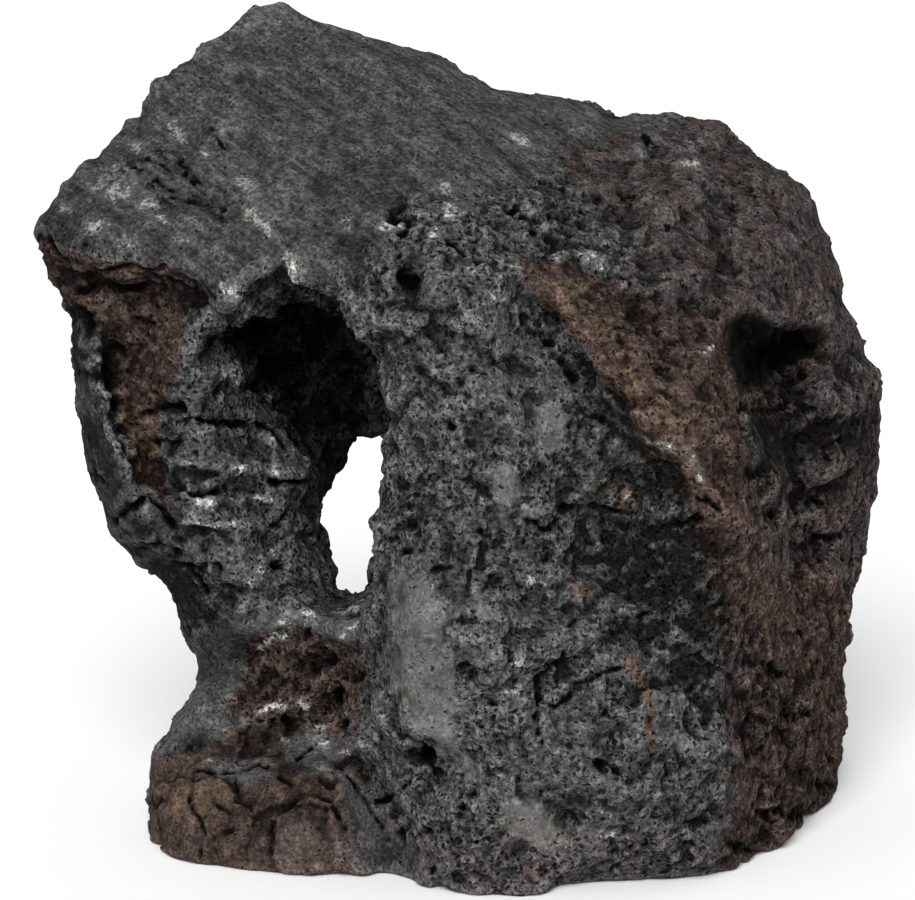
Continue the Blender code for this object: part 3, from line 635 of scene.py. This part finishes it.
PITTED = (  # u, v, width
    (86, 19, 1.5), (82, 12, 1.4), (86, 9.5, 1.7), (75, -5.5, 2.0), (78, -16, 2.2), (97, -27, 1.2),
    (90, -13, 1.0), (86, -46, 1.7), (84, -66, 1.6), (89, -70.5, 1.4), (73, -67, 0.9), (76, -68, 0.9),
    (77, -74, 0.9), (90.5, -83.5, 1.8), (78, -91, 1.6), (71, -99, 2.2), (85, -91, 2.4),
)
FLANK_SIDE, NEAR_HALF = 64.0, 34.0  # mm, x where the flank begins and y where the near half ends
BURNT_BELOW, TINGED_BELOW = 55.0, 50.0  # mm, z under which the flank is burnt and the base is tinged
BUTTON = (73.5, -57.5)  # a round nodule, 4.6 mm in radius, in a worn ring
PIT_DEPTH = 1.3

near_side = ease((NEAR_HALF - points[:, 1]) / 12.0)
buttress = on_face(ring_reach(BUTTRESS))
shoulder = on_face(ring_reach(SHOULDER))
burnt = 1.6 * rough_swell(points, 13.0, ROCK_SEED + 115, octaves=2)
far_side = ease((points[:, 1] + 9.0 * burnt - 20.0) / 50.0)
flank = np.minimum((points[:, 0] + 4.0 * stray - FLANK_SIDE) * 0.8, FAR)
flank = np.minimum(flank, FAR - far_side * 2.0 * FAR)
flank = np.minimum(flank, 0.4 + 3.0 * ease((BURNT_BELOW - points[:, 2]) / 30.0)) + burnt
low_flank = 0.5 * (ring_reach(LOW_FLANK) - 2.0 * FAR * far_side)
low_flank += 2.4 * rough_swell(points, 14.0, ROCK_SEED + 116, octaves=2)
low_edge = -0.8 - FAR * (1.0 - ease((TINGED_BELOW - points[:, 2]) / 36.0))
for burnt_zone in (1.5 * buttress, np.minimum(shoulder, 0.3) + burnt * facing, flank, low_flank, low_edge):
    rust = np.maximum(rust, burnt_zone)
ochre = np.maximum(ochre, np.minimum(0.35 * (on_face(ring_reach(SANDY)) - 1.0), 0.5))
ochre = np.maximum(ochre, np.minimum(low_flank, -1.1))

bedded = rough_swell(warped * [0.8, 0.8, 1.3], 6.0, ROCK_SEED + 120, octaves=3, crease=0.8)
lumps = rough_swell(warped, 11.0, ROCK_SEED + 125, octaves=3, crease=0.6)
lay(share(shoulder, 9.0), 0.7 * porous - 0.4 * pits, 0.35)
lay(share(buttress), 0.75 * porous - 0.35 * pits, 0.38)
lay(share(flank, 10.0), 0.6 * bedded + 0.7 * porous - 0.4 * pits, 0.5)
split(SHADOWS, width=0.75, deep=1.5, dark=0.9, wander=0.9)
for u, v, width in PITTED:
    bore(u, v, width, PIT_DEPTH)
relief += share(low_flank, 8.0) * 1.3 * lumps
relief += share(ring_reach(MOUTH), 6.0) * (2.0 * rubble - 1.5)
from_button = ((board - BUTTON) ** 2).sum(axis=1) ** 0.5
worn_ring = broken * np.exp(-(((from_button + 0.6 * stray - 5.2) / 1.0) ** 2))
relief += facing * (1.4 * ease((4.6 - from_button) / 2.0) - 0.7 * worn_ring)
# Painted shadow in the hollow at the beds' head and, fainter, on the bed under it.
painted_shadow = np.maximum(painted_shadow, 1.4 * share(ring_reach(MOUTH) + 1.2, 4.0) * near_side)
painted_shadow = np.maximum(painted_shadow, 0.45 * share(ring_reach(SHADE), 4.5) * near_side)


# ---------------------------------------------------------------------------------------------
# The pale crust. White mineral that seeped out of the basalt with its water and dried on the roof,
# the crests and the cave's rim, in crumbs and streaks about as thick as paper.

CRUSTS = (  # u, v, width, slant in degrees
    (-85.5, 69, 3.5, 0), (-84, 64.5, 2.6, 0), (-88.5, 66, 2.2, 0), (-91, 56, 2.6, 0), (-83, 53, 2.4, 0),
    (-69.5, 52.5, 2.0, 0), (-71, 81.5, 1.6, -50), (-69, 78.5, 2.0, -50), (-97, 60.5, 1.8, 0),
    (-77, 62, 2.0, 0), (-80, 76, 1.8, 0), (-52.6, 66.5, 2.4, -50), (-50, 57.5, 3.2, -50),
    (-47.5, 55, 1.8, -50), (-57, 40.5, 2.0, -30), (-54, 38.5, 1.5, -30), (-41.5, 47.5, 2.2, -60),
    (-40, 44.5, 2.0, -60), (-36, 41, 1.8, 0), (-28, 56, 1.2, 0), (-73.5, 57, 1.6, 0), (-63, 74, 1.2, 0),
    (43.5, -11.5, 1.4, 0), (36.5, -7.5, 1.0, 0), (31, -35.5, 1.2, 0), (-2, 60, 2.0, 0),
    (-44, 107, 1.6, 0), (63.5, 25.5, 1.1, 10), (48.5, 3, 0.9, -30), (52, 1, 1.1, -30),
    (58.8, -1.7, 1.1, -60), (60.6, -6, 1.2, -60), (-64.5, 4.6, 1.2, 0), (-63.5, -13, 1.5, 0),
    (-61, -18.8, 1.4, 0), (-58, 19.5, 1.8, 0), (-54.5, 17.5, 1.4, 0), (-47, 13.5, 1.2, 0),
    (19, -33, 1.6, 0), (22, -32, 1.2, 0), (16, -54, 1.8, 0), (14, -60, 1.8, 0), (10, 38, 1.8, 0),
    (4, 46, 1.8, 0), (38, -96, 1.5, 0), (-28, -75, 1.6, 0), (-62, -77, 0.8, 0), (52.5, -7, 0.8, 0),
    (-17, 56, 1.8, 0), (-3, 20, 1.2, 0), (13, 79, 1.2, -20), (17, 77, 1.6, -20), (-3, 66, 1.8, 0),
    (-5.5, 54, 1.6, 30), (23.5, 47.5, 1.2, -50), (14, 46, 1.1, 0), (15.5, 44, 1.1, 0), (33, 48, 1.2, 0),
    (35.5, 46, 1.2, 0), (0, 31, 1.3, 0), (57, 72, 1.5, 0), (59, 71, 1.4, 0), (58.5, 75.5, 1.0, 0),
    (84, 53, 0.9, 0), (60.5, -66, 0.9, -60), (61.5, -69, 1.1, -60),
)

for u, v, width, slant in CRUSTS:
    turn = math.radians(slant)
    x, y = (board - (u, v)).T
    run = x * math.cos(turn) + y * math.sin(turn)
    rise = y * math.cos(turn) - x * math.sin(turn)
    dab = np.exp(-((run / (1.5 * width)) ** 2 + (rise / (0.8 * width)) ** 2 + 0.4 * stray)) * facing
    crust = np.maximum(crust, 1.3 * np.minimum(dab, 1.0))


# ---------------------------------------------------------------------------------------------
# Painted shade and light, with tone. Broad soft spots darken the basalt where it should lie in shade
# and pale it where it should be lit, and a few only change its own tone: broad, soft and only as
# deep as a grain.

SHADE_LIGHT_AND_TONE = (  # u, v, width, amount: darker above nothing, paler below
    (-96, 26, 12, 1.0), (-98, 51, 11, 0.7), (-73, 50, 9, 0.3), (-49, 50, 9, 0.35), (-25, 50, 9, 0.35),
    (-92, -2, 11, 0.8), (-82, -18, 10, 0.7), (-71, -36, 11, 1.0), (-57, -46, 8, 0.45), (-70, 10, 6, 0.75),
    (-42, -24, 11, -0.8), (-60, 10, 8, -0.25), (-33, -71, 10, -0.85), (-50, -51, 5, -0.5),
    (-20, -92, 9, -0.5), (-41, -89, 11, 0.6), (-60, -101, 11, 0.4), (2, -70, 9, -0.5), (17, -62, 7, -0.4),
    (20, -98, 9, -0.65), (-9, -79, 5, 0.7), (-11, -19, 7, 0.6), (11, 25, 8, -0.45), (42, 3, 10, 0.5),
    (54, -24, 13, 1.0), (43, -37, 9, 0.45), (57, -56, 10, 0.5), (84, 4, 13, 0.95), (100, 5, 9, 0.4),
    (77, -64, 11, 0.5), (91, -90, 10, 0.85), (70, -101, 8, 0.5), (-20, 66, 12, 0.2), (42, 27, 8, 0.6),
    (64, 40, 8, 0.35), (40, -101, 7, -0.3), (-74, 67, 11, 0.2), (12, -9, 6, -0.3), (-60, 37, 7, 0.6),
    (-82, 36, 12, 0.05), (-79, 3, 4, -0.4), (44, -54, 3, -0.5), (47, -63, 4, -0.5), (48, -72, 4, -0.5),
    (43, -12, 4, -0.5), (31, -35, 3, -0.4), (-21, 29, 8, 0.35), (-8, 38, 9, 0.3), (30, 50, 6, 0.3),
    (62, -42, 8, 0.5), (72, -16, 7, -0.5), (73, -38, 8, -0.4), (81, -9, 6, 0.4), (63, 3, 8, -0.2),
    (-86, 70, 7, 0.3), (23.5, 5, 5, -0.45), (12, -8, 4, -0.2), (-20, 8, 5, -0.4), (-21, -21, 5, -0.6),
    (-39, -17, 6, -0.6), (-51, -80, 6, -0.5), (-39, -79, 6, 0.6), (60, -36, 8, 0.5), (50, -11, 5, 0.5),
    (26, 25, 7, -0.4), (9, -41, 6, -0.5), (-9, 20, 5, 0.4), (-80, 61, 5, -0.4), (1, -60, 4, -0.4),
    (-27, -94, 7, 0.4), (70, -90, 5, -0.4), (11, -50, 5, 0.3),
)

turning = ease((NEAR_HALF - points[:, 1] - 8.0 * burnt) / 40.0)
turning = np.maximum(ease(facing * 5.0), turning)
for u, v, width, amount in SHADE_LIGHT_AND_TONE:
    shade_light_and_tone += amount * np.exp(-((board - (u, v)) ** 2).sum(axis=1) / width**2) * turning


# ---------------------------------------------------------------------------------------------
# The rim. All round the block's edge smaller bits of the same basalt broke off with it or clung on.
# These knobs and bites make its ragged outline.

KNOBS = (  # u, v, width, height
    (-34.5, -16, 5.0, -3.0), (-18, 0, 3.0, -2.0), (-29, -4, 3.5, 2.2), (-22, 3.5, 2.5, 1.6),
    (-30, -30, 3.0, 2.0), (-23, -33, 3.0, -1.8), (-21.5, -17, 3.0, 1.6), (-52, 110, 6.0, 2.0),
    (-43, 113, 3.0, 1.6), (-64, 101, 4.0, 1.4), (-76.5, 92.5, 2.4, 1.6), (-79.8, 84, 1.8, -1.0),
    (-83, 82.5, 2.4, 1.5), (-87, 78, 2.2, 0.8), (-90.5, 74, 1.8, -1.0), (-94, 73, 2.0, 1.2),
    (-99, 66.5, 2.2, 1.2), (-107, 55, 3.0, 1.8), (-103, 42, 3.0, 1.8), (-96, 11, 4.0, 1.6),
    (-87, -21, 4.0, 1.6), (-80, -29, 3.0, 1.5), (-75.5, -74, 4.0, 1.6), (-69, -69, 3.0, 1.4),
    (105, -4, 9.0, 1.6), (39, 84, 4.0, -1.8), (64, 83, 4.0, 1.7), (91, 59, 4.0, -1.6),
    (97, 38, 4.0, -1.6), (102, 23, 3.0, -1.4), (98.5, -40, 6.0, -1.8), (65.5, 50, 4.5, 2.5),
)

for u, v, width, height in KNOBS:
    relief += height * np.exp(-((plain_board - (u, v)) ** 2).sum(axis=1) / width**2)


# ---------------------------------------------------------------------------------------------
# The finished skin. The relief goes onto the block and is left out where the stone stands on its
# rest. Hollows and crests are measured, for painted shade in the hollows and painted light on the
# crests, and the mesh is thinned where it is plain.

TRIANGLES = 194000
STANDING = 3.0  # mm above the floor, up to where the relief grows in


def averaged(values, pairs, rounds):
    """Each point's values moved halfway to the mean of its neighbours' values, over and over."""
    a, b = pairs.T
    count = np.bincount(a, minlength=len(values)) + np.bincount(b, minlength=len(values))
    for _ in range(rounds):
        total = [
            np.bincount(a, column[b], len(values)) + np.bincount(b, column[a], len(values))
            for column in values.T
        ]
        values = 0.5 * values + 0.5 * (np.array(total) / count).T
    return values


moved = points + normals * (relief * ease(points[:, 2] / STANDING))[:, None]
moved[:, 2] = np.maximum(moved[:, 2], 0.0)
stone.data.vertices.foreach_set("co", (moved * MM).ravel())
stone.data.update()
edges = np.empty(len(stone.data.edges) * 2, np.int64)
stone.data.edges.foreach_get("vertices", edges)
edges = edges.reshape(-1, 2)
outward = read_normals(stone.data)
# Painted shade in the hollows and painted light on the crests: each point's depth below its neighbours'
# mean.
hollow = ((averaged(moved, edges, 10) - moved) * outward).sum(axis=1)
hollow += 0.5 * ((averaged(moved, edges, 60) - moved) * outward).sum(axis=1)
hollow *= 1.0 - 0.55 * roof
skin_marks = {
    "rust": rust, "ochre": ochre, "calm": calm, "crust": crust, "cracks": cracks,
    "hollow": hollow + shade_light_and_tone, "froth": froth, "painted_shadow": painted_shadow, "flow": roof,
}
for name, values in skin_marks.items():
    layer = stone.data.attributes.new(name, "FLOAT", "POINT")
    layer.data.foreach_set("value", values.astype(np.float32))
triangles = sum(len(face.vertices) - 2 for face in stone.data.polygons)
settle(stone, ("DECIMATE", {"ratio": min(1.0, TRIANGLES / triangles)}))
stone.data.shade_smooth()


# ---------------------------------------------------------------------------------------------
# Vesicular basalt, broken and never cut: a dark grey glassy froth, red-brown where hot gas burnt its
# iron. Pores under a millimetre and the grit between them leave it peppered and quite matt. Painted
# shade darkens its pores, cracks, holes and hollows, painted shadow its cave, and painted light pales
# its crests.

PATTERNS = {  # mm; real grit is finer, and is drawn as coarse as it needs to be to show
    "clots": 2.5, "grit": 0.8696, "wide pores": 1.7857, "fine pores": 1.0,
    "pore bend": 1.923, "streaks": 1.5625,
}
BUMP = 0.45  # mm, from the bottom of a pore to the top of the grit
BENT_BY = 2.6  # mm, the most that pores are pulled out of round
DRAWN_THIN = (0.16, 1.0, 0.3)  # how often streaks repeat down the fall, across it and inwards


def linear(hex_colour):
    """sRGB hex to linear RGBA."""
    parts = [int(hex_colour[i:i + 2], 16) / 255.0 for i in (1, 3, 5)]
    return [c / 12.92 if c <= 0.04045 else ((c + 0.055) / 1.055) ** 2.4 for c in parts] + [1.0]


basalt = bpy.data.materials.new("vesicular_basalt_broken")
basalt.use_nodes = True
tree = basalt.node_tree
shader = tree.nodes["Principled BSDF"]


def add(kind, settings, *sources):
    """Adds a node and returns its first output, or the one that settings name as "out".

    Each source belongs to the input at its place: a socket is linked, a value is set, and None
    leaves the input as it is. "stops" are a ramp's places and colours.
    """
    node = tree.nodes.new("ShaderNode" + kind)
    for name, value in settings.items():
        if name not in ("out", "stops"):
            setattr(node, name, value)
    if "stops" in settings:
        for place, _ in settings["stops"][1:-1]:
            node.color_ramp.elements.new(place)
        for element, (place, colour) in zip(node.color_ramp.elements, settings["stops"]):
            element.position, element.color = place, linear(colour)
    for socket, source in zip(node.inputs, sources):
        if isinstance(source, bpy.types.NodeSocket):
            tree.links.new(source, socket)
        elif source is not None:
            socket.default_value = source
    return node.outputs[settings.get("out", 0)]


SOFT = {"interpolation_type": "SMOOTHSTEP"}
PLUS, MINUS, TIMES = {"operation": "ADD"}, {"operation": "SUBTRACT"}, {"operation": "MULTIPLY"}
TIMES_PLUS, LARGER = {"operation": "MULTIPLY_ADD"}, {"operation": "MAXIMUM"}

# The patterns: clots and grit all over, streaks along the roof's fall, and pores in the froth.
scale = {name: 1.0 / (size * MM) for name, size in PATTERNS.items()}
zone = {name: add("Attribute", {"attribute_name": name, "out": "Fac"}) for name in skin_marks}
where = add("TexCoord", {"out": "Object"})
clots = add("TexNoise", {}, where, None, scale["clots"], 2.0, 0.75)
grit = add("TexNoise", {}, where, None, scale["grit"], 1.0, 0.7)
rough = add("Math", PLUS, add("Math", TIMES, grit, 0.45), add("Math", TIMES, clots, 0.55))
contrast = add("Math", TIMES_PLUS, zone["froth"], 0.25, 0.9)
tone = add("Math", TIMES_PLUS, add("Math", MINUS, rough, 0.5), contrast, 0.5)

down_fall = RIGHT * math.cos(FALL) + RISE * math.sin(FALL)
across_fall = RISE * math.cos(FALL) - RIGHT * math.sin(FALL)
to_ribs = Matrix((down_fall, across_fall, -INTO)).to_euler()
along_ribs = add("VectorRotate", {"rotation_type": "EULER_XYZ"}, where, None, None, None, to_ribs)
thin = add("VectorMath", TIMES, along_ribs, DRAWN_THIN)
streaks = add("Math", MINUS, add("TexNoise", {}, thin, None, scale["streaks"], 3.0, 0.75), 0.5)
tone = add("Math", TIMES_PLUS, add("Math", TIMES, streaks, zone["flow"]), 0.5, tone)

bend = add("TexNoise", {"out": "Color"}, where, None, scale["pore bend"], 0.0)
bent = add("VectorMath", TIMES_PLUS, bend, (BENT_BY * MM,) * 3, where)
frayed = add("MapRange", {}, clots, 0.34, 0.66, -0.5, 0.5)
bubbly = add("Math", PLUS, add("Math", TIMES, zone["froth"], 0.85), frayed)
bubbly = add("MapRange", SOFT, bubbly, 0.1, 0.55)
wide_pores = add("MapRange", SOFT, add("TexVoronoi", {}, bent, None, scale["wide pores"]), 0.39, 0.19)
wide_pores = add("Math", TIMES, wide_pores, bubbly)
fine_pores = add("MapRange", SOFT, add("TexVoronoi", {}, bent, None, scale["fine pores"]), 0.40, 0.18)
fine_pores = add("Math", TIMES, fine_pores, bubbly)
pores = add("Math", LARGER, wide_pores, fine_pores)

# The colours: each kind of basalt from its shaded grains to its lit ones.
GREY = ((0.34, "#2d2d2f"), (0.47, "#4d4d4f"), (0.53, "#5e5e5f"), (0.66, "#82817e"))
RUSTY = ((0.34, "#2a201e"), (0.47, "#473935"), (0.53, "#564943"), (0.66, "#77665e"))
SANDY_OCHRE = ((0.34, "#3d3229"), (0.47, "#594a40"), (0.53, "#67574a"), (0.66, "#84705b"))
PALE_SKIN = ((0.34, "#555451"), (0.47, "#6a6965"), (0.53, "#73726f"), (0.66, "#8e8c87"))
DUSTY_SKIN = ((0.34, "#483e3c"), (0.47, "#5e514d"), (0.53, "#6c605b"), (0.66, "#897c77"))
MINERAL = ((0.38, "#8f8d89"), (0.62, "#dedbd5"))
SHADE_TO_LIGHT = ((0.0, "#525252"), (0.27, "#909090"), (0.53, "#cacaca"), (0.76, "#e6e6e6"), (1.0, "#ffffff"))
# Painted shade for the pores and cracks, and painted shadow for the cave and the hollow under the shoulder.
PORE_SHADE, CRACK_SHADE, SHADOW_BLACK = "#0a0a0b", "#0d0c0c", "#080808"

grey, rusty, sandy, skin, dusty, mineral = (
    add("ValToRGB", {"stops": stops}, tone)
    for stops in (GREY, RUSTY, SANDY_OCHRE, PALE_SKIN, DUSTY_SKIN, MINERAL)
)
ragged = add("MapRange", {}, clots, 0.3, 0.7, -2.0, 2.0)
burnt_share = add("MapRange", SOFT, add("Math", TIMES_PLUS, ragged, 0.5, zone["rust"]), -2.6, 2.6)
ochre_share = add("MapRange", SOFT, add("Math", PLUS, zone["ochre"], ragged), -1.4, 1.4)
calm_share = add("MapRange", SOFT, add("Math", PLUS, zone["calm"], ragged), -2.0, 2.0)
calm_share = add("Math", TIMES, calm_share, 0.8)
crumbs = add("Math", PLUS, zone["crust"], add("MapRange", {}, rough, 0.36, 0.64, -0.5, 0.5))
crumbs = add("Math", TIMES, add("MapRange", SOFT, crumbs, 0.55, 1.15), 0.85)
crust_share = add("Math", LARGER, crumbs, add("Math", TIMES, zone["crust"], 0.3))
# Painted shade in the cracks, tears, seams and holes.
frayed_crack = add("Math", PLUS, zone["cracks"], add("MapRange", {}, clots, 0.3, 0.7, -0.3, 0.3))
crack_share = add("MapRange", SOFT, frayed_crack, 0.35, 0.85)
# Painted shade in the hollows and painted light on the crests, with the spots of painted shade and light.
painted_lightness = add("MapRange", {}, zone["hollow"], -0.85, 0.75, 1.0, 0.0)
shade = add("ValToRGB", {"stops": SHADE_TO_LIGHT}, painted_lightness)

colour = add("MixRGB", {}, burnt_share, grey, rusty)
colour = add("MixRGB", {}, ochre_share, colour, sandy)
colour = add("MixRGB", {}, calm_share, colour, add("MixRGB", {}, burnt_share, skin, dusty))
colour = add("MixRGB", {}, crust_share, colour, mineral)
# Painted shade in the pores, where the bumps alone cast none.
colour = add("MixRGB", {}, add("Math", TIMES, pores, 0.9), colour, linear(PORE_SHADE))
colour = add("MixRGB", {}, crack_share, colour, linear(CRACK_SHADE))
colour = add("MixRGB", {"blend_type": "MULTIPLY"}, 1.0, colour, shade)
# Painted shadow in the cave and in the hollow under the shoulder.
colour = add("MixRGB", {}, add("Math", TIMES, zone["painted_shadow"], 0.7), colour, linear(SHADOW_BLACK))
raised = add("Math", MINUS, tone, add("Math", TIMES, wide_pores, 0.9))
tree.links.new(colour, shader.inputs["Base Color"])
tree.links.new(add("Bump", {}, 1.0, BUMP * MM, None, raised), shader.inputs["Normal"])
shader.inputs["Roughness"].default_value = 0.88
shader.inputs["Specular IOR Level"].default_value = 0.04
stone.data.materials.append(basalt)

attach(stone, "root")
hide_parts("lava_rock")


# ---------------------------------------------------------------------------------------------
# The studio. A plain floor of white paper, laid flat under the stone, a soft sun from the front,
# high and a little to the left, and a pale sky, with the camera square to the board.

FLOOR_REACH = 6.0  # m from the middle to each side

floor_mesh = bpy.data.meshes.new("studio_floor")
floor_corners = [(x * FLOOR_REACH, y * FLOOR_REACH, 0.0) for x, y in ((-1, -1), (1, -1), (1, 1), (-1, 1))]
floor_mesh.from_pydata(floor_corners, [], [(0, 1, 2, 3)])
floor = bpy.data.objects.new("studio_floor", floor_mesh)
bpy.context.scene.collection.objects.link(floor)
paper = bpy.data.materials.new("white_paper")
paper.use_nodes = True
paper.node_tree.nodes["Principled BSDF"].inputs["Base Color"].default_value = linear("#fdfdfd")
paper.node_tree.nodes["Principled BSDF"].inputs["Roughness"].default_value = 0.9
floor_mesh.materials.append(paper)

sky = bpy.data.worlds.new("studio_sky")
bpy.context.scene.world = sky
sky.use_nodes = True
sky.node_tree.nodes["Background"].inputs["Color"].default_value = linear("#f2f4f6")
sky.node_tree.nodes["Background"].inputs["Strength"].default_value = 0.60

sun = bpy.data.lights.new("soft_sun", "SUN")
sun.energy = 3.0
sun.angle = math.radians(35.0)
lamp = bpy.data.objects.new("soft_sun", sun)
bpy.context.scene.collection.objects.link(lamp)
lamp.rotation_euler = Vector((0.14, 0.80, -0.64)).to_track_quat("-Z", "Y").to_euler()

camera = bpy.data.cameras.new("camera")
camera.lens = 150.0
camera.sensor_width = 36.0
eye = bpy.data.objects.new("camera", camera)
bpy.context.scene.collection.objects.link(eye)
eye.location = Vector(BOARD_MIDDLE - INTO * SIGHT) * MM
eye.rotation_euler = Vector(INTO).to_track_quat("-Z", "Y").to_euler()
bpy.context.scene.camera = eye
bpy.context.scene.view_settings.view_transform = "Standard"
